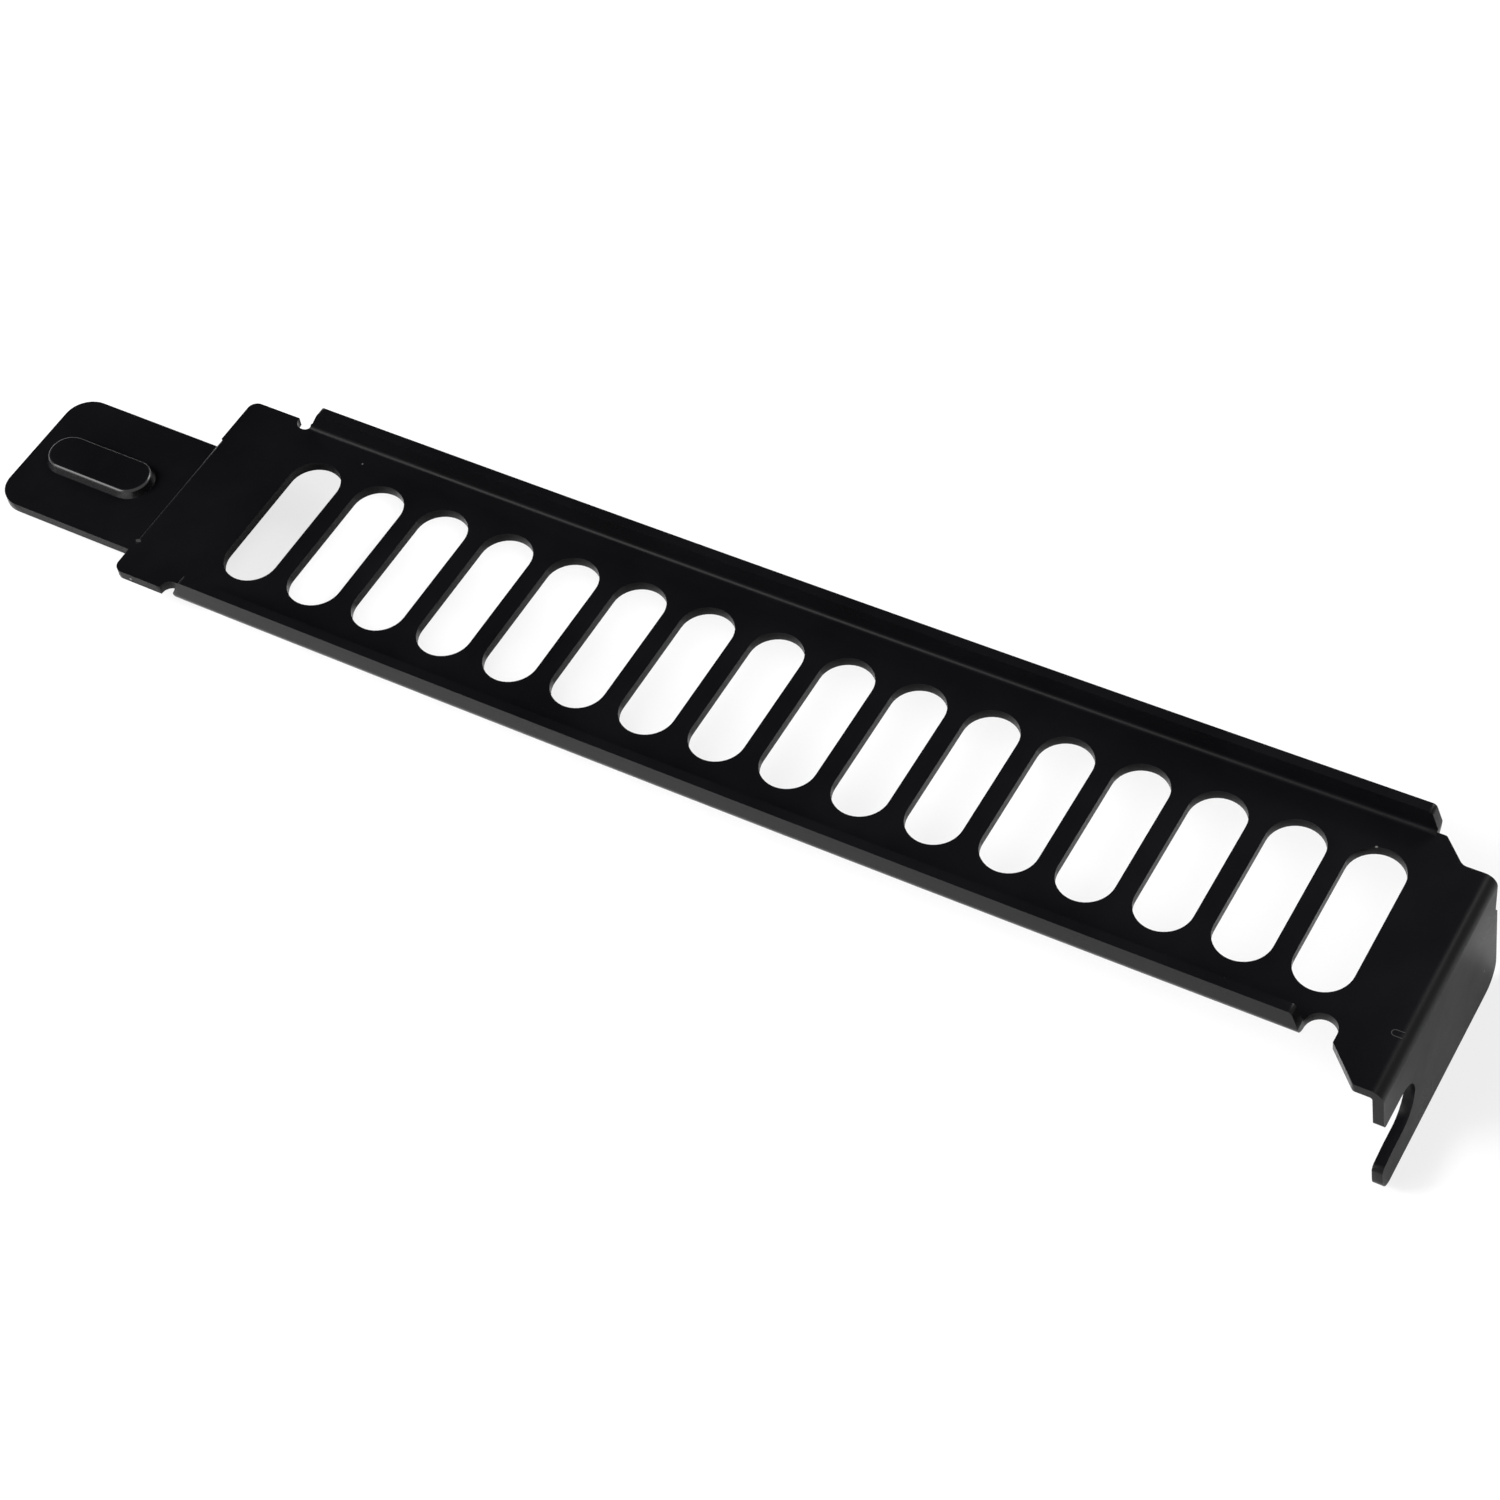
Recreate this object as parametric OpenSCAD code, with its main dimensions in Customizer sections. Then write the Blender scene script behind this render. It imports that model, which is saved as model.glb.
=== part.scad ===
// Vented slot cover bracket: one folded sheet of painted steel that closes an
// expansion slot at the back of a computer or server. The plate lies level with its
// inner side up. Its long edges are folded up into two low flanges, the screw tab is
// folded down at the +X end, and a stepped tongue with a rib is at the -X end.
// Origin: on the centre line, where the seat face of the tab meets the plane of the
// plate's outer face. +X runs from the tongue to the tab, +Z is the inner side.

/* [Sheet] */
// Thickness of the steel sheet
sheet_t = 0.8; // [0.6:0.1:1]

/* [Plate] */
// Length from the tongue's tip to the front face of the tab
overall_length = 120.3; // [118:0.1:124]
// Width over the outer faces of the two flanges
body_width = 20; // [19.4:0.1:20.4]
// Height of the flanges over the outer face of the plate
flange_height = 2.8; // [2.4:0.1:4]
// Inside radius of the flange folds
flange_bend_r = 0.4; // [0.2:0.1:0.5]
// Slope of the flange ends at the ears, as a run along the plate
flange_ear_rake = 0.9; // [0.2:0.1:1.2]
// Slope of the flange ends at the tab, as a run along the plate
flange_tab_rake = 0.5; // [0.2:0.1:1]
// Radius of the top corners of the flanges
flange_corner_r = 0.4; // [0.2:0.1:0.6]

/* [Vents] */
// Distance between neighbouring vent slots, centre to centre
vent_pitch = 5.93; // [5.6:0.01:6.2]
// Width of a vent slot
vent_width = 4.4; // [3:0.1:4.6]
// Length of a vent slot over its round ends
vent_length = 12.9; // [8:0.1:14]
// Distance from the centre of the last vent slot to the front face of the tab
vent_to_tab = 7.7; // [7.5:0.1:8.5]
// Least length of closed plate between the ears and the first vent slot
vent_to_ears = 2; // [1:0.1:6]

/* [Ears] */
// Width over the two ears
ear_width = 19.4; // [19:0.1:20]
// Length of an ear along the plate
ear_length = 4.5; // [3.5:0.1:5]
// Radius of the outer corners of the ears
ear_corner_r = 0.8; // [0.4:0.1:1.5]
// Width of the round-bottomed gap between an ear and its flange
ear_gap = 1.6; // [1:0.1:1.8]

/* [Tongue] */
// Length of the tongue from the ears to its tip
tongue_length = 14.2; // [13:0.1:15]
// Width of the tongue
tongue_width = 12; // [10:0.1:13]
// Sideways shift of the tongue from the centre line
tongue_shift = -0.8; // [-1.2:0.1:1.2]
// Step of the tongue down from the plate
tongue_step = 1.2; // [0.8:0.1:2.4]
// Steepness of the step in degrees
step_angle = 80; // [60:5:85]
// Outside radius of the two pressed corners of the step
step_corner_r = 0.4; // [0.2:0.05:0.5]
// Inside radius of the two pressed corners of the step
step_inner_r = 0.2; // [0.1:0.05:0.3]
// Radius of the corners of the tongue
tongue_corner_r = 2.2; // [1:0.1:3]

/* [Rib] */
// Length of the pressed rib on the tongue
rib_length = 9.8; // [8:0.1:10]
// Width of the pressed rib at its foot
rib_width = 3.8; // [3.2:0.1:5]
// Height of the rib over the tongue
rib_height = 0.7; // [0.4:0.1:0.9]
// Distance from the tip of the tongue to the rib
rib_to_tip = 1.4; // [1:0.1:2.4]
// Slope of the rib's side, as a run across the rib
rib_draft = 0.25; // [0.1:0.05:0.4]
// Radius of the rib's upper edge
rib_shoulder_r = 0.3; // [0.1:0.05:0.4]
// Inset of the hollow under the rib from the rib's foot
rib_hollow_inset = 0.55; // [0.4:0.05:0.7]

/* [Screw tab] */
// Depth of the tab under the inner face of the plate
tab_depth = 11.2; // [10.6:0.1:12]
// Reach of the tab from the centre line on the screw side
tab_screw_side = 12.2; // [11.6:0.1:12.6]
// Reach of the tab from the centre line on the plain side
tab_plain_side = 7.3; // [6.6:0.1:8]
// Inside radius of the tab's fold
tab_bend_r = 0.2; // [0.2:0.1:0.5]
// Radius of the tab's lower corner on the plain side
tab_corner_r = 1.8; // [0.5:0.1:3]
// Depth of the small nick in the tab's plain edge
nick_depth = 0.3; // [0.1:0.05:0.5]
// Distance of the nick under the inner face of the plate
nick_drop = 3.4; // [2.5:0.1:5]

/* [Screw notch] */
// Width of the open notch for the screw
notch_width = 4.3; // [4.2:0.1:4.6]
// Depth of the screw's axis under the inner face of the plate
notch_drop = 6.2; // [5.9:0.1:6.4]
// Distance from the screw's axis to the tab's edge on the screw side
notch_reach = 3; // [2.6:0.1:4]
// Widening of the notch at its open end, on the finger's side
notch_flare = 0.2; // [0:0.05:0.4]
// Radius of the prong's corner above the notch
prong_corner_r = 0.5; // [0.2:0.1:0.8]
// Length that the finger under the notch stands out past the tab's edge
finger_overrun = 0.4; // [0.1:0.1:0.8]
// Radius of the finger's upper corner
finger_top_r = 0.5; // [0.2:0.1:0.6]
// Radius of the finger's lower corner
finger_foot_r = 1.2; // [0.6:0.1:1.3]

/* [Neck] */
// Distance from the screw-side flange to the front face of the tab
screw_flange_gap = 7.1; // [6.9:0.1:8]
// Distance from the plain-side flange to the front face of the tab
plain_flange_gap = 5.2; // [4.9:0.1:6]
// Radius of the round relief between the screw-side flange and the flare
relief_r = 1.2; // [0.9:0.1:1.3]
// Reach of the relief in from the outer face of the flange
relief_reach = 2.2; // [1.9:0.1:2.6]
// Length of straight edge between the plain-side flange and the taper
taper_land = 0.7; // [0.3:0.1:1]
// Radius at the foot of the taper
taper_fillet_r = 0.8; // [0.3:0.1:1]

/* [Hidden] */
$fn = 96;

paint = [0.07, 0.07, 0.075];

// outer radii of the folds
flange_fold_r = flange_bend_r + sheet_t;
tab_fold_r = tab_bend_r + sheet_t;

// half widths: blank, outer and inner flange faces, start of the flange folds
half_ear = ear_width / 2;
half_outer = body_width / 2;
half_inner = half_outer - sheet_t;
half_flat = half_outer - flange_fold_r;

// places along the plate, counted from the seat face of the tab
tab_front_x = sheet_t;
plate_end_x = -tab_bend_r;
tip_x = tab_front_x - overall_length;
ear_x = tip_x + tongue_length;
gap_r = ear_gap / 2;
gap_x = ear_x + ear_length + gap_r;
flange_start_x = gap_x + gap_r;
screw_flange_end_x = tab_front_x - screw_flange_gap;
plain_flange_end_x = tab_front_x - plain_flange_gap;
last_vent_x = tab_front_x - vent_to_tab;

// as many vents as fit between the tab's end and the ears
vent_room = last_vent_x - vent_width / 2 - vent_to_ears - ear_x - ear_length;
vent_count = floor(vent_room / vent_pitch) + 1;

// relief and 45 degree flare on the screw side
relief_x = screw_flange_end_x + relief_r;
relief_y = -half_outer + relief_reach - relief_r;
flare_x = relief_x + relief_r;
flare_end_x = flare_x + tab_screw_side - half_ear;
flare_corner_r = 0.4;

// 45 degree taper on the plain side
taper_x = plain_flange_end_x + taper_land;
taper_end_x = taper_x + half_inner - tab_plain_side;
taper_corner_r = 0.4;

// the step: its run along the plate, and how far its lower corners lie behind the upper
step_run = tongue_step / tan(step_angle);
step_lead = sheet_t * tan(step_angle / 2);
step_x = ear_x + step_lead;
tongue_top_z = sheet_t - tongue_step;
tongue_low_y = tongue_shift - tongue_width / 2;
tongue_high_y = tongue_shift + tongue_width / 2;

// middle of the rib, and the straight between its round ends
rib_x = tip_x + rib_to_tip + rib_length / 2;
rib_straight = rib_length - rib_width;

// places on the tab
tab_edge_z = sheet_t - tab_depth;
notch_r = notch_width / 2;
notch_y = notch_reach - tab_screw_side;
notch_z = sheet_t - notch_drop;
// the notch starts to widen halfway from the screw's axis to the tab's edge
flare_y = (notch_y - tab_screw_side) / 2;
finger_y = -tab_screw_side - finger_overrun;
nick_z = sheet_t - nick_drop;

// how far cuts run past the faces that they open
past = 1;

// ---------- plane shapes ----------

// sliver between a sharp corner at p and the arc of radius r that rounds it,
// for edges that run from p to a and from p to b
module corner_2d(p, a, b, r) {
    u = (a - p) / norm(a - p);
    v = (b - p) / norm(b - p);
    half_angle = acos(u * v) / 2;
    middle = (u + v) / norm(u + v);
    centre = middle * r / sin(half_angle);
    reach = r / tan(half_angle);
    translate(p)
        difference() {
            polygon([-middle * r / 8, u * reach, centre, v * reach]);
            translate(centre)
                circle(r);
        }
}

// positive where the outline turns left at point i
function turn(points, i) =
    let (n = len(points))
    let (a = points[i] - points[(i + n - 1) % n])
    let (b = points[(i + 1) % n] - points[i])
    a[0] * b[1] - a[1] * b[0];

// outline through points, anticlockwise, with each corner rounded by its own radius
module rounded_2d(points, radii) {
    n = len(points);
    difference() {
        union() {
            polygon(points);
            for (i = [0 : n - 1])
                if (radii[i] > 0 && turn(points, i) < 0)
                    corner_2d(points[i], points[(i + n - 1) % n], points[(i + 1) % n], radii[i]);
        }
        for (i = [0 : n - 1])
            if (radii[i] > 0 && turn(points, i) > 0)
                corner_2d(points[i], points[(i + n - 1) % n], points[(i + 1) % n], radii[i]);
    }
}

// rectangle between two opposite corners
module box_2d(low, high) {
    translate(low)
        square(high - low);
}

// slot with round ends along Y
module slot_2d(width, length) {
    straight = length - width;
    square([width, straight], center = true);
    for (side = [-1, 1])
        translate([0, side * straight / 2])
            circle(d = width);
}

// ---------- plate ----------

// flat blank from the ears to the tab's fold, with its vents
module plate_2d() {
    difference() {
        rounded_2d(
            [
                [ear_x, -half_ear],
                [gap_x, -half_ear],
                [gap_x, -half_flat],
                [relief_x, -half_flat],
                [relief_x, -half_ear],
                [flare_x, -half_ear],
                [flare_end_x, -tab_screw_side],
                [plate_end_x, -tab_screw_side],
                [plate_end_x, tab_plain_side],
                [taper_end_x, tab_plain_side],
                [taper_x, half_inner],
                [plain_flange_end_x, half_inner],
                [plain_flange_end_x, half_flat],
                [gap_x, half_flat],
                [gap_x, half_ear],
                [ear_x, half_ear],
                [ear_x, tongue_high_y],
                [step_x, tongue_high_y],
                [step_x, tongue_low_y],
                [ear_x, tongue_low_y]
            ],
            [
                ear_corner_r, 0, 0, 0, 0, 0, flare_corner_r, 0,
                0, taper_fillet_r, taper_corner_r, 0, 0, 0, 0, ear_corner_r,
                0, 0, 0, 0
            ]
        );
        for (i = [0 : vent_count - 1])
            translate([last_vent_x - i * vent_pitch, 0])
                slot_2d(vent_width, vent_length);
    }
}

// side view of one flange, with a raked end at the ears and one at the tab
module flange_side_2d(end_x, foot_x) {
    rounded_2d(
        [
            [gap_x, -past],
            [foot_x, -past],
            [foot_x, flange_fold_r],
            [end_x, flange_fold_r],
            [end_x - flange_tab_rake, flange_height],
            [flange_start_x + flange_ear_rake, flange_height],
            [flange_start_x, flange_fold_r],
            [gap_x, flange_fold_r]
        ],
        [0, 0, 0, 0, flange_corner_r, flange_corner_r, 0, 0]
    );
}

// section of the flange on the +Y side: its fold and its upright wall
module flange_section_2d() {
    rounded_2d(
        [
            [half_flat, 0],
            [half_outer, 0],
            [half_outer, flange_height + past],
            [half_inner, flange_height + past],
            [half_inner, sheet_t],
            [half_flat, sheet_t]
        ],
        [0, flange_fold_r, 0, 0, flange_bend_r, 0]
    );
}

// flange on the +Y side, from the ear's gap to end_x, its foot running on to foot_x
module flange(end_x, foot_x) {
    intersection() {
        translate([gap_x - past, 0, 0])
            rotate([90, 0, 90])
                linear_extrude(foot_x - gap_x + 2 * past)
                    flange_section_2d();
        translate([0, half_outer + past, 0])
            rotate([90, 0, 0])
                linear_extrude(half_outer)
                    flange_side_2d(end_x, foot_x);
    }
}

// round-bottomed cut that runs out over the plate's edge on the -Y side
module edge_cut(x, y, r) {
    translate([x, y, -past])
        linear_extrude(flange_height + 2 * past) {
            circle(r);
            box_2d([-r, -half_outer], [r, 0]);
        }
}

// ---------- tongue ----------

// lengthwise section of the tongue and its step, with x = 0 at the ears' edge;
// its right end laps the plate
module tongue_section_2d() {
    rounded_2d(
        [
            [-tongue_length, tongue_top_z - sheet_t],
            [step_lead - step_run, tongue_top_z - sheet_t],
            [step_lead, 0],
            [step_lead + past, 0],
            [step_lead + past, sheet_t],
            [0, sheet_t],
            [-step_run, tongue_top_z],
            [-tongue_length, tongue_top_z]
        ],
        [0, step_corner_r, step_inner_r, 0, 0, step_corner_r, step_inner_r, 0]
    );
}

// plan of the tongue, with two rounded corners at the tip
module tongue_plan_2d() {
    rounded_2d(
        [
            [tip_x, tongue_low_y],
            [step_x + 2 * past, tongue_low_y],
            [step_x + 2 * past, tongue_high_y],
            [tip_x, tongue_high_y]
        ],
        [tongue_corner_r, 0, 0, tongue_corner_r]
    );
}

// half section of a pressed rib: reach at the foot, height, and radius of the upper edge
module rib_section_2d(reach, height, shoulder_r) {
    rounded_2d(
        [
            [0, -past / 4],
            [reach, -past / 4],
            [reach, 0],
            [reach - rib_draft, height],
            [0, height]
        ],
        [0, 0, 0, shoulder_r, 0]
    );
}

// round-ended rib along X with its foot at z = 0
module rib_solid(reach, height, shoulder_r) {
    for (side = [-1, 1])
        translate([side * rib_straight / 2, 0, 0])
            rotate_extrude()
                rib_section_2d(reach, height, shoulder_r);
    for (side = [0, 1])
        translate([-rib_straight / 2, 0, 0])
            rotate([90, 0, 90])
                linear_extrude(rib_straight)
                    mirror([side, 0])
                        rib_section_2d(reach, height, shoulder_r);
}

module tongue() {
    difference() {
        union() {
            intersection() {
                translate([ear_x, half_outer, 0])
                    rotate([90, 0, 0])
                        linear_extrude(body_width)
                            tongue_section_2d();
                translate([0, 0, -tongue_step - past])
                    linear_extrude(tongue_step + sheet_t + 2 * past)
                        tongue_plan_2d();
            }
            translate([rib_x, tongue_shift, tongue_top_z])
                rib_solid(rib_width / 2, rib_height, rib_shoulder_r);
        }
        translate([rib_x, tongue_shift, tongue_top_z - sheet_t])
            rib_solid(rib_width / 2 - rib_hollow_inset, rib_height, rib_shoulder_r / 2);
    }
}

// ---------- screw tab ----------

// face of the tab, with the notch that opens on the screw side: x is Y, y is Z
module tab_2d() {
    rounded_2d(
        [
            [tab_plain_side, -tab_bend_r],
            [-tab_screw_side, -tab_bend_r],
            [-tab_screw_side, notch_z + notch_r],
            [notch_y + notch_r, notch_z + notch_r],
            [notch_y + notch_r, notch_z - notch_r],
            [flare_y, notch_z - notch_r],
            [finger_y, notch_z - notch_r - notch_flare],
            [finger_y, tab_edge_z],
            [tab_plain_side, tab_edge_z],
            [tab_plain_side, nick_z - nick_depth],
            [tab_plain_side - nick_depth, nick_z]
        ],
        [0, 0, prong_corner_r, notch_r, notch_r, 0, finger_top_r, finger_foot_r, tab_corner_r, 0, 0]
    );
}

// lengthwise section of the fold between plate and tab
module tab_fold_2d() {
    rounded_2d(
        [
            [plate_end_x, 0],
            [0, 0],
            [0, -tab_bend_r],
            [tab_front_x, -tab_bend_r],
            [tab_front_x, sheet_t],
            [plate_end_x, sheet_t]
        ],
        [0, tab_bend_r, 0, 0, tab_fold_r, 0]
    );
}

module tab() {
    rotate([90, 0, 90])
        linear_extrude(sheet_t)
            tab_2d();
    translate([0, tab_plain_side, 0])
        rotate([90, 0, 0])
            linear_extrude(tab_plain_side + tab_screw_side)
                tab_fold_2d();
}

// ---------- whole bracket ----------

module cover_bracket() {
    color(paint)
        difference() {
            union() {
                linear_extrude(sheet_t)
                    plate_2d();
                flange(plain_flange_end_x, plain_flange_end_x);
                mirror([0, 1, 0])
                    flange(screw_flange_end_x, relief_x);
                tongue();
                tab();
            }
            edge_cut(gap_x, -half_flat - gap_r, gap_r);
            mirror([0, 1, 0])
                edge_cut(gap_x, -half_flat - gap_r, gap_r);
            edge_cut(relief_x, relief_y, relief_r);
        }
}

cover_bracket();
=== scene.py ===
"""Vented slot cover bracket, dressed: one folded steel sheet in semi-gloss black paint."""
import math

import bmesh
import bpy
from bpy.props import FloatProperty, IntProperty, PointerProperty, StringProperty
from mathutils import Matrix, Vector


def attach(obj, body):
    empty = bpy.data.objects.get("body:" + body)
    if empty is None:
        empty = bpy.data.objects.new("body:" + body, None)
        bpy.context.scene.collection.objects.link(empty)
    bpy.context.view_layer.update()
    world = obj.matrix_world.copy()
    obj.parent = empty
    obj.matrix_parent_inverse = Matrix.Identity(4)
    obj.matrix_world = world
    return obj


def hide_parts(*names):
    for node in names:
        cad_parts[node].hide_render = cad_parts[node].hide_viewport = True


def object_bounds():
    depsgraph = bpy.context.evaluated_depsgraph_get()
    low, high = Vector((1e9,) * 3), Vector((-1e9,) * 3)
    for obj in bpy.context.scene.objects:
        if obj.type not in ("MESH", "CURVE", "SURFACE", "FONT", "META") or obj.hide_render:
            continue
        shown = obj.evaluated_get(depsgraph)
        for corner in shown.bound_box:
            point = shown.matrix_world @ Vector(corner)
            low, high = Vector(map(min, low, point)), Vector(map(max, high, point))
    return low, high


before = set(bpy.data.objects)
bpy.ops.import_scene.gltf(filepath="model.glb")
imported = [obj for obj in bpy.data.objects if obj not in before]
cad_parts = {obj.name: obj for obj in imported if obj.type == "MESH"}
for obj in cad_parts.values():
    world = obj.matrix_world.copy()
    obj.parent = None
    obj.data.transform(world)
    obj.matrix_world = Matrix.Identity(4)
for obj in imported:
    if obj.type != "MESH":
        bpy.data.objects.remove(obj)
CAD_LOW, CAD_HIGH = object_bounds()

bl_info = {
    "name": "Vented slot cover bracket",
    "version": (1, 0, 0),
    "blender": (4, 5, 0),
    "location": "3D View > Sidebar > Slot cover",
    "description": "Builds a painted, vented expansion slot cover and its studio",
    "category": "Object",
}

MM = 0.001
SHEET_NODE = "cover_bracket"
SHEET_PIECE = "painted_sheet"

# ---------- places on the sheet ----------

EAR_X = -105.3 * MM  # the crease where the tongue steps down from the plate
SHEET_TOP = 0.8 * MM  # the plate's inner face, one sheet thickness over its outer face
TAB_X = -0.5 * MM  # what lies under the plate and beyond this belongs to the tab
TAB_FRONT_X = 0.8 * MM  # the tab's front face
TONGUE_FOOT = -1.2 * MM  # the underside of the tongue

# the rib's pressed shoulder, where the edge paint is a painted highlight: beyond the crease, over the tongue's
# face, neither upright nor level
RIB_X = EAR_X - MM
RIB_Z = -0.35 * MM
SHOULDER_NORMAL_Z = (0.1, 0.97)

MERGE_DISTANCE = 0.5e-6
FLAT_ANGLE = math.radians(0.4)
CUT_DISTANCE = 1e-7
# the bow rises past the ears as a parabola does, but no further than at this many half lengths
BOW_REACH = 1.3

# an open loop scratched into the paint beside the tab's fold, in mm: its turn's middle, radius and run
LOOP_X, LOOP_Y = -0.5, -7.3
LOOP_RADIUS = 0.25
LOOP_RUN = 0.6
LOOP_STEP = 30
# a small grey dab over the crease, near its screw-side end, in mm from the middle
DAB_X, DAB_Y = EAR_X / MM + 0.2, -6.5
DAB_RADIUS = 0.25
DAB_FLATNESS = 0.7
DAB_CORNERS = 6
# height of both over the plate
MARK_LIFT = 0.01 * MM

# order of the materials on the sheet; the second is thin paint on the sheared edges and, lighter and glossier than
# the film, a painted highlight along them and along the rib's shoulder
FILM, THIN_PAINT_AND_HIGHLIGHT, BARE = 0, 1, 2

# ---------- the paint ----------

PEEL_DEPTH = 0.01 * MM
PEEL_STRENGTH = 0.25
CLOUD_WIDTH = 9 * MM
CLOUD_SPREAD = (0.3, 0.7)  # the range that the cloud pattern mostly keeps to
ROUGHNESS_SPREAD = (-0.04, 0.05)
SPECK_RADIUS = (0.012, 0.024)  # full and gone, as shares of the specks' spacing
SPECK_COLOUR = "#6a6a68"
FILM_LEVEL = 0.1
WORN_LEVEL = 0.5
EDGE_POLISH = 0.1  # how much smoother the film is where handling has rubbed it

# ---------- the studio, in metres, watts and degrees ----------

WHITE = (1, 1, 1, 1)
FLOOR_HALF = 2.0
FLOOR_GAP = 0.2 * MM
FLOOR_GLOW = 0.75
ROOM_LIGHT = 0.2
ROOM_SEEN = 1.0

CARD_PLACE = (-0.40, 0.28, 0.42)
CARD_AIM = (-0.07, 0, 0)
CARD_SIZE = 1.1
CARD_COLOUR = "#c4c4e0"
CARD_FADE_X = (-0.32, -0.08)
CARD_GLOW = 0.35

LAMP_AIM = (-0.05, 0, 0)
# name, place, side, power, and whether it shows in reflections
LAMPS = (
    ("key_lamp", (-0.7, -0.35, 0.6), 0.45, 16.0, False),
    ("fill_lamp", (-0.5, -0.5, 0.45), 0.5, 4.0, True),
    ("back_lamp", (0.2, 0.7, 0.5), 0.4, 4.0, True),
)

LENS_MM = 85.2515
SENSOR_MM = 36
LENS_SHIFT = (-0.00065, -0.01106)
CLIP = (0.01, 20)
CAMERA_PLACE = (0.04553, -0.132368, 0.200089)
CAMERA_TURN = (38.694, 6.1094, 29.5137)


# ---------- colours and nodes ----------

def linear(code, alpha=1.0):
    """An sRGB hex colour as the linear values that a shader takes."""
    code = code.lstrip("#")
    parts = [int(code[i:i + 2], 16) / 255 for i in (0, 2, 4)]
    return tuple(c / 12.92 if c <= 0.04045 else ((c + 0.055) / 1.055) ** 2.4 for c in parts) + (alpha,)


def add_node(tree, kind, settings=None, links=None):
    """Adds a node, sets its attributes or socket values, and links its inputs from (node, socket) pairs."""
    node = tree.nodes.new(kind)
    for key, value in (settings or {}).items():
        if isinstance(key, str) and hasattr(node, key):
            setattr(node, key, value)
        else:
            node.inputs[key].default_value = value
    for key, (source, socket) in (links or {}).items():
        tree.links.new(source.outputs[socket], node.inputs[key])
    return node


def new_material(name):
    """An empty node material with its output node."""
    material = bpy.data.materials.new(name)
    material.use_nodes = True
    material.node_tree.nodes.clear()
    out = material.node_tree.nodes.new("ShaderNodeOutputMaterial")
    return material, material.node_tree, out


def ray_mask(tree, *kinds):
    """The node and socket that give 1 for rays of the Light Path kinds named and 0 for all others."""
    path = add_node(tree, "ShaderNodeLightPath")
    mask = (path, kinds[0])
    for kind in kinds[1:]:
        both = add_node(
            tree, "ShaderNodeMath", {"operation": "ADD", "use_clamp": True}, {0: mask, 1: (path, kind)})
        mask = (both, "Value")
    return mask


# ---------- settings ----------

class SlotCoverSettings(bpy.types.PropertyGroup):
    """Sizes and colours that a user would change."""

    edge_radius: FloatProperty(
        name="Edge radius", description="Rounding of the sheared edges under the paint",
        default=0.16 * MM, min=0.02 * MM, max=0.3 * MM, unit="LENGTH", precision=5)
    edge_segments: IntProperty(
        name="Edge segments", description="Faces across a rounded edge", default=3, min=1, max=6)
    bow: FloatProperty(
        name="Bow", description="Sag of the plate midway along its length",
        default=0.42 * MM, unit="LENGTH", precision=5)
    lean: FloatProperty(
        name="Lean", description="Angle by which the tab's fold has opened",
        default=math.radians(2.66), subtype="ANGLE")
    cuts: IntProperty(
        name="Cuts", description="Pieces that the length is cut into so that it can bow",
        default=40, min=4, max=100)
    sharp_angle: FloatProperty(
        name="Sharp angle", description="Folds sharper than this are sheared edges and get rounded",
        default=math.radians(50), subtype="ANGLE")
    paint: StringProperty(
        name="Paint", description="Colour of the black paint, sRGB hex", default="#050506")
    # lighter black: the film's cloudy tone, and the colour of the edge paint, a painted highlight on the sheared
    # edges and the rib's shoulder
    paint_worn_and_highlight: StringProperty(
        name="Thin paint", description="Colour where the paint is thin or rubbed, sRGB hex",
        default="#0e0e10")
    scratch_width: FloatProperty(
        name="Scratch width", description="Width of a chipped line in the paint",
        default=0.05 * MM, unit="LENGTH", precision=5)
    steel: StringProperty(
        name="Bare steel", description="Colour of the steel in scratches and chips, sRGB hex",
        default="#50504e")
    roughness: FloatProperty(
        name="Paint roughness", description="Roughness of the semi-gloss film",
        default=0.3, min=0, max=1, subtype="FACTOR")
    peel: FloatProperty(
        name="Orange peel", description="Width of one ripple of the sprayed film",
        default=0.7 * MM, min=0.1 * MM, unit="LENGTH", precision=5)
    speck_spacing: FloatProperty(
        name="Speck spacing", description="Distance between dust specks in the film",
        default=5.5 * MM, min=0.1 * MM, unit="LENGTH", precision=5)
    floor: StringProperty(
        name="Floor", description="Colour of the floor, sRGB hex", default="#f4f4f4")
    lamp_level: FloatProperty(
        name="Lamp level", description="Light of all lamps together, 1 is plain",
        default=1.0, min=0, soft_max=2, subtype="FACTOR")


# ---------- the sheet ----------

def merged_copy(node):
    """A bmesh with the CAD node's form, its loose triangles merged into clean faces."""
    form = bmesh.new()
    form.from_mesh(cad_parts[node].data)
    bmesh.ops.remove_doubles(form, verts=form.verts, dist=MERGE_DISTANCE)
    bmesh.ops.dissolve_limit(
        form, angle_limit=FLAT_ANGLE, use_dissolve_boundaries=False,
        verts=form.verts, edges=form.edges, delimit={"NORMAL"})
    bmesh.ops.recalc_face_normals(form, faces=form.faces)
    return form


def soften_edges(form, radius, segments, sharp):
    """Rounds the sheared edges and returns the new faces.

    The shortest facets of the curved edges clamp the rounding everywhere, to far less than the radius.
    """
    edges = [e for e in form.edges if len(e.link_faces) == 2 and e.calc_face_angle(0.0) > sharp]
    made = bmesh.ops.bevel(
        form, geom=edges, offset=radius, offset_type="OFFSET", segments=segments, profile=0.5,
        affect="EDGES", clamp_overlap=True, material=-1)
    return made["faces"]


def paint_shoulder_highlight(form):
    """Gives the pressed shoulder of the rib the lighter edge paint, as a painted highlight."""
    least, most = SHOULDER_NORMAL_Z
    for face in form.faces:
        middle = face.calc_center_median()
        if middle.x < RIB_X and middle.z > RIB_Z and least < face.normal.z < most:
            face.material_index = THIN_PAINT_AND_HIGHLIGHT


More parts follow.
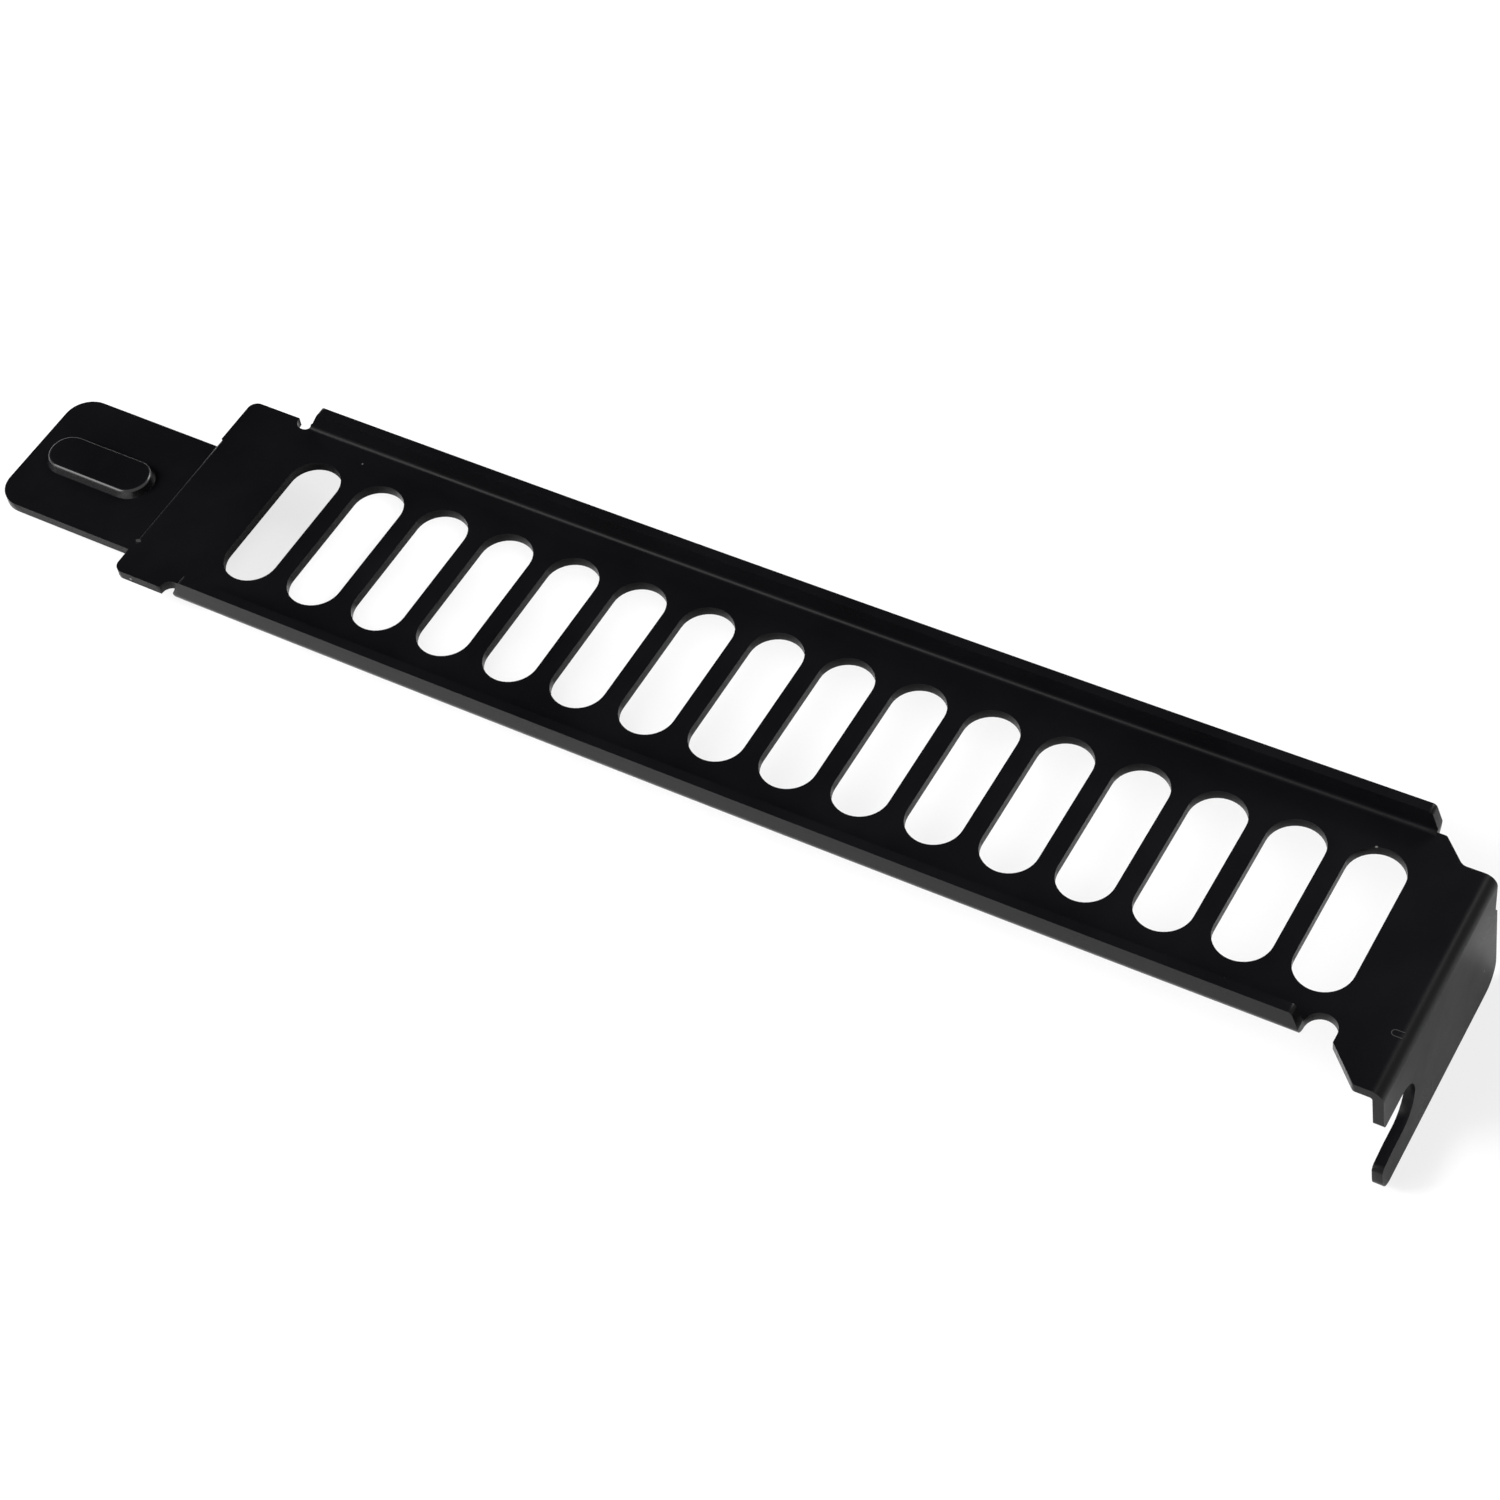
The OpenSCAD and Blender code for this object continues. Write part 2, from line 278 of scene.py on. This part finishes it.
def loop_points():
    """The open loop: a straight run, a half turn and a run back, in mm."""
    turn = [math.radians(angle) for angle in range(90, 271, LOOP_STEP)]
    bend = [(LOOP_X + LOOP_RADIUS * math.cos(a), LOOP_Y + LOOP_RADIUS * math.sin(a)) for a in turn]
    start = (LOOP_X + LOOP_RUN, LOOP_Y + LOOP_RADIUS)
    end = (LOOP_X + LOOP_RUN, LOOP_Y - LOOP_RADIUS)
    return [start] + bend + [end]


def add_scratch(form, points, width, height):
    """A thin chipped line in the paint, as a ribbon just over the plate through points in mm."""
    rows = []
    for i, (x, y) in enumerate(points):
        before = Vector(points[max(i - 1, 0)])
        after = Vector(points[min(i + 1, len(points) - 1)])
        side = (after - before).normalized().orthogonal() * width / 2
        rows.append([form.verts.new((x * MM + s * side.x, y * MM + s * side.y, height)) for s in (-1, 1)])
    for a, b in zip(rows, rows[1:]):
        face = form.faces.new((a[0], b[0], b[1], a[1]))
        face.normal_update()
        if face.normal.z < 0:
            face.normal_flip()
        face.material_index = BARE


def add_dab(form, height):
    """A small flat dab, whose corners are a radian apart so that it isn't quite even."""
    ring = [(DAB_X + DAB_RADIUS * math.cos(a), DAB_Y + DAB_FLATNESS * DAB_RADIUS * math.sin(a))
            for a in range(DAB_CORNERS)]
    dab = form.faces.new([form.verts.new((x * MM, y * MM, height)) for x, y in ring])
    dab.material_index = BARE


def settle(form, bow, lean, cuts):
    """Gives the straight sheet the slight bow along its length and the slightly open fold of a used one.

    The plate sags by bow midway between the ears and the tab, and the tab turns outward by lean.
    """
    low = min(v.co.x for v in form.verts)
    high = max(v.co.x for v in form.verts)
    for i in range(1, cuts):
        everything = form.verts[:] + form.edges[:] + form.faces[:]
        bmesh.ops.bisect_plane(
            form, geom=everything, dist=CUT_DISTANCE,
            plane_co=(low + (high - low) * i / cuts, 0, 0), plane_no=(1, 0, 0))
    middle = (EAR_X + high) / 2
    half = (high - EAR_X) / 2
    for vert in form.verts:
        if vert.co.z < 0 and vert.co.x > TAB_X:
            vert.co.x -= vert.co.z * math.tan(lean)
        along = (vert.co.x - middle) / half
        vert.co.z -= bow * (1 - min(along * along, BOW_REACH ** 2))


def piece_from(form, name, materials):
    """Puts a finished bmesh into the scene as one smooth-shaded piece."""
    mesh = bpy.data.meshes.new(name)
    for face in form.faces:
        face.smooth = True
    form.to_mesh(mesh)
    form.free()
    for material in materials:
        mesh.materials.append(material)
    piece = bpy.data.objects.new(name, mesh)
    bpy.context.scene.collection.objects.link(piece)
    return piece


def black_paint(settings, name, colour, rough, level):
    """Semi-gloss black baking enamel on cold-rolled steel, sprayed and stoved.

    It is near black, with a soft sheen, a faint ripple and a few dust specks.
    """
    material, tree, out = new_material(name)
    place = (add_node(tree, "ShaderNodeTexCoord"), "Object")
    # ripple of the sprayed film
    peel = add_node(
        tree, "ShaderNodeTexNoise", {"Scale": 1 / settings.peel, "Detail": 2.0, "Roughness": 0.5},
        {"Vector": place})
    # broad, cloudy change in the film's depth
    cloud = add_node(
        tree, "ShaderNodeTexNoise", {"Scale": 1 / CLOUD_WIDTH, "Detail": 3.0, "Roughness": 0.6},
        {"Vector": place})
    # dust specks in the film
    cells = add_node(
        tree, "ShaderNodeTexVoronoi",
        {"feature": "F1", "Scale": 1 / settings.speck_spacing, "Randomness": 1.0}, {"Vector": place})
    core, rim = SPECK_RADIUS
    speck = add_node(
        tree, "ShaderNodeMapRange", {"From Min": core, "From Max": rim, "To Min": 1.0, "To Max": 0.0},
        {"Value": (cells, "Distance")})
    tone = add_node(
        tree, "ShaderNodeMix",
        {"data_type": "RGBA", "A": linear(colour), "B": linear(settings.paint_worn_and_highlight)},
        {"Factor": (cloud, "Fac")})
    mixed = add_node(
        tree, "ShaderNodeMix", {"data_type": "RGBA", "B": linear(SPECK_COLOUR)},
        {"Factor": (speck, "Result"), "A": (tone, "Result")})
    smoother, rougher = ROUGHNESS_SPREAD
    gloss = add_node(
        tree, "ShaderNodeMapRange",
        {"From Min": CLOUD_SPREAD[0], "From Max": CLOUD_SPREAD[1],
         "To Min": rough + smoother, "To Max": rough + rougher},
        {"Value": (cloud, "Fac")})
    bump = add_node(
        tree, "ShaderNodeBump", {"Strength": PEEL_STRENGTH, "Distance": PEEL_DEPTH},
        {"Height": (peel, "Fac")})
    shader = add_node(
        tree, "ShaderNodeBsdfPrincipled", {"Metallic": 0.0, "IOR": 1.5, "Specular IOR Level": level},
        {"Base Color": (mixed, "Result"), "Roughness": (gloss, "Result"), "Normal": (bump, "Normal")})
    tree.links.new(shader.outputs["BSDF"], out.inputs["Surface"])
    return material


class SLOTCOVER_OT_sheet(bpy.types.Operator):
    """Builds the folded sheet with softened edges and its paint"""

    bl_idname = "slotcover.sheet"
    bl_label = "Folded sheet"

    def execute(self, context):
        s = context.scene.slot_cover
        form = merged_copy(SHEET_NODE)
        rounded = soften_edges(form, s.edge_radius, s.edge_segments, s.sharp_angle)
        # painted highlight along the rib's shoulder
        paint_shoulder_highlight(form)
        add_scratch(form, loop_points(), s.scratch_width, SHEET_TOP + MARK_LIFT)
        add_dab(form, SHEET_TOP + MARK_LIFT)
        settle(form, s.bow, s.lean, s.cuts)
        # settle's cuts have split these, and only one part of each gets the thin paint and painted highlight
        for face in rounded:
            face.material_index = THIN_PAINT_AND_HIGHLIGHT
        film = black_paint(s, "black_baking_enamel", s.paint, s.roughness, FILM_LEVEL)
        # the edge paint: thin paint on the sheared edges, and lighter than the film as a painted highlight there
        # and on the rib's shoulder
        thin = black_paint(
            s, "thin_enamel_and_highlight_on_edge", s.paint_worn_and_highlight, s.roughness - EDGE_POLISH, WORN_LEVEL)
        bare = black_paint(s, "chipped_enamel", s.steel, s.roughness, WORN_LEVEL)
        piece = piece_from(form, SHEET_PIECE, [film, thin, bare])
        weight = piece.modifiers.new("flat_faces_stay_flat", "WEIGHTED_NORMAL")
        weight.mode = "FACE_AREA"
        weight.weight = 100
        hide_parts(SHEET_NODE)
        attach(piece, "root")
        return {"FINISHED"}


# ---------- the studio ----------

def add_floor(colour):
    """A white floor that slopes to touch the tab's free edge and the tongue's tip, on which the bracket stands."""
    material, tree, out = new_material("white_floor")
    share = add_node(
        tree, "ShaderNodeMath", {"operation": "MULTIPLY", 1: FLOOR_GLOW},
        {0: ray_mask(tree, "Is Camera Ray", "Is Transmission Ray")})
    matt = add_node(tree, "ShaderNodeBsdfDiffuse", {"Color": linear(colour)})
    glow = add_node(tree, "ShaderNodeEmission", {"Color": WHITE, "Strength": 1.0})
    both = add_node(
        tree, "ShaderNodeMixShader", links={0: (share, "Value"), 1: (matt, "BSDF"), 2: (glow, "Emission")})
    tree.links.new(both.outputs["Shader"], out.inputs["Surface"])
    slope = (TONGUE_FOOT - CAD_LOW.z) / (TAB_FRONT_X - CAD_LOW.x)
    form = bmesh.new()
    bmesh.ops.create_grid(form, x_segments=1, y_segments=1, size=FLOOR_HALF)
    for vert in form.verts:
        vert.co.z = CAD_LOW.z - FLOOR_GAP + (TAB_FRONT_X - vert.co.x) * slope
    ground = piece_from(form, "floor", [material])


def add_room(scene):
    """A white room that is dimmer as a light than it looks to the camera and in reflections."""
    world = bpy.data.worlds.new("white_room")
    scene.world = world
    world.use_nodes = True
    tree = world.node_tree
    tree.nodes.clear()
    plain = add_node(tree, "ShaderNodeBackground", {"Color": WHITE, "Strength": ROOM_LIGHT})
    white = add_node(tree, "ShaderNodeBackground", {"Color": WHITE, "Strength": ROOM_SEEN})
    mask = ray_mask(tree, "Is Camera Ray", "Is Glossy Ray", "Is Transmission Ray")
    both = add_node(
        tree, "ShaderNodeMixShader", links={0: mask, 1: (plain, "Background"), 2: (white, "Background")})
    add_node(tree, "ShaderNodeOutputWorld", links={"Surface": (both, "Shader")})


def stage_plane(name, centre, toward, width, depth, material):
    """A flat stage panel of width by depth at centre, facing a point."""
    form = bmesh.new()
    bmesh.ops.create_grid(form, x_segments=1, y_segments=1, size=0.5)
    turn = (Vector(toward) - Vector(centre)).to_track_quat("Z", "Y").to_matrix().to_4x4()
    bmesh.ops.scale(form, vec=(width, depth, 1), verts=form.verts)
    bmesh.ops.transform(form, matrix=turn, verts=form.verts)
    bmesh.ops.translate(form, vec=centre, verts=form.verts)
    panel = piece_from(form, name, [material])
    return panel


def add_card():
    """A card that only reflections see, over the left and far side.

    It is black at its left, which keeps the level plate black, and glows a faint bluish white
    toward its right end, which the sheet reflects there.
    """
    material, tree, out = new_material("dark_card")
    place = add_node(tree, "ShaderNodeTexCoord")
    split = add_node(tree, "ShaderNodeSeparateXYZ", links={"Vector": (place, "Object")})
    fade = add_node(
        tree, "ShaderNodeMapRange",
        {"From Min": CARD_FADE_X[0], "From Max": CARD_FADE_X[1], "To Min": 0.0, "To Max": CARD_GLOW},
        {"Value": (split, "X")})
    glow = add_node(
        tree, "ShaderNodeEmission", {"Color": linear(CARD_COLOUR)}, {"Strength": (fade, "Result")})
    tree.links.new(glow.outputs["Emission"], out.inputs["Surface"])
    card = stage_plane("dark_card", CARD_PLACE, CARD_AIM, CARD_SIZE, CARD_SIZE, material)
    card.visible_camera = False
    card.visible_shadow = False
    card.visible_diffuse = False


def add_lamp(name, place, size, power, reflected):
    """A soft square lamp that points at the bracket."""
    data = bpy.data.lights.new(name, "AREA")
    data.shape = "SQUARE"
    data.size = size
    data.energy = power
    lamp = bpy.data.objects.new(name, data)
    lamp.location = place
    lamp.rotation_euler = (Vector(LAMP_AIM) - Vector(place)).to_track_quat("-Z", "Y").to_euler()
    lamp.visible_glossy = reflected
    bpy.context.scene.collection.objects.link(lamp)


def add_camera(scene):
    """A long lens that looks down on the bracket past its screw side and its tab."""
    data = bpy.data.cameras.new("camera")
    data.lens = LENS_MM
    data.sensor_width = SENSOR_MM
    data.shift_x, data.shift_y = LENS_SHIFT
    data.clip_start, data.clip_end = CLIP
    camera = bpy.data.objects.new("camera", data)
    camera.location = CAMERA_PLACE
    camera.rotation_euler = [math.radians(angle) for angle in CAMERA_TURN]
    scene.collection.objects.link(camera)
    scene.camera = camera


class SLOTCOVER_OT_stage(bpy.types.Operator):
    """Sets the floor, the white room, the dark card, the lamps and the camera"""

    bl_idname = "slotcover.stage"
    bl_label = "Studio"

    def execute(self, context):
        s = context.scene.slot_cover
        add_floor(s.floor)
        add_room(context.scene)
        add_card()
        for name, place, size, power, reflected in LAMPS:
            add_lamp(name, place, size, power * s.lamp_level, reflected)
        add_camera(context.scene)
        context.scene.view_settings.view_transform = "Standard"
        return {"FINISHED"}


# ---------- panel and registration ----------

STEPS = ("sheet", "stage")


class SLOTCOVER_PT_panel(bpy.types.Panel):
    """Lists the steps and the settings"""

    bl_idname = "SLOTCOVER_PT_panel"
    bl_label = "Slot cover"
    bl_space_type = "VIEW_3D"
    bl_region_type = "UI"
    bl_category = "Slot cover"

    def draw(self, context):
        for step in STEPS:
            self.layout.operator("slotcover." + step)
        for name in SlotCoverSettings.__annotations__:
            self.layout.prop(context.scene.slot_cover, name)


CLASSES = (SlotCoverSettings, SLOTCOVER_OT_sheet, SLOTCOVER_OT_stage, SLOTCOVER_PT_panel)


def register():
    for cls in CLASSES:
        bpy.utils.register_class(cls)
    bpy.types.Scene.slot_cover = PointerProperty(type=SlotCoverSettings)


def unregister():
    del bpy.types.Scene.slot_cover
    for cls in reversed(CLASSES):
        bpy.utils.unregister_class(cls)


def main():
    """Builds everything in order."""
    register()
    for step in STEPS:
        getattr(bpy.ops.slotcover, step)()


if __name__ == "__main__":
    main()
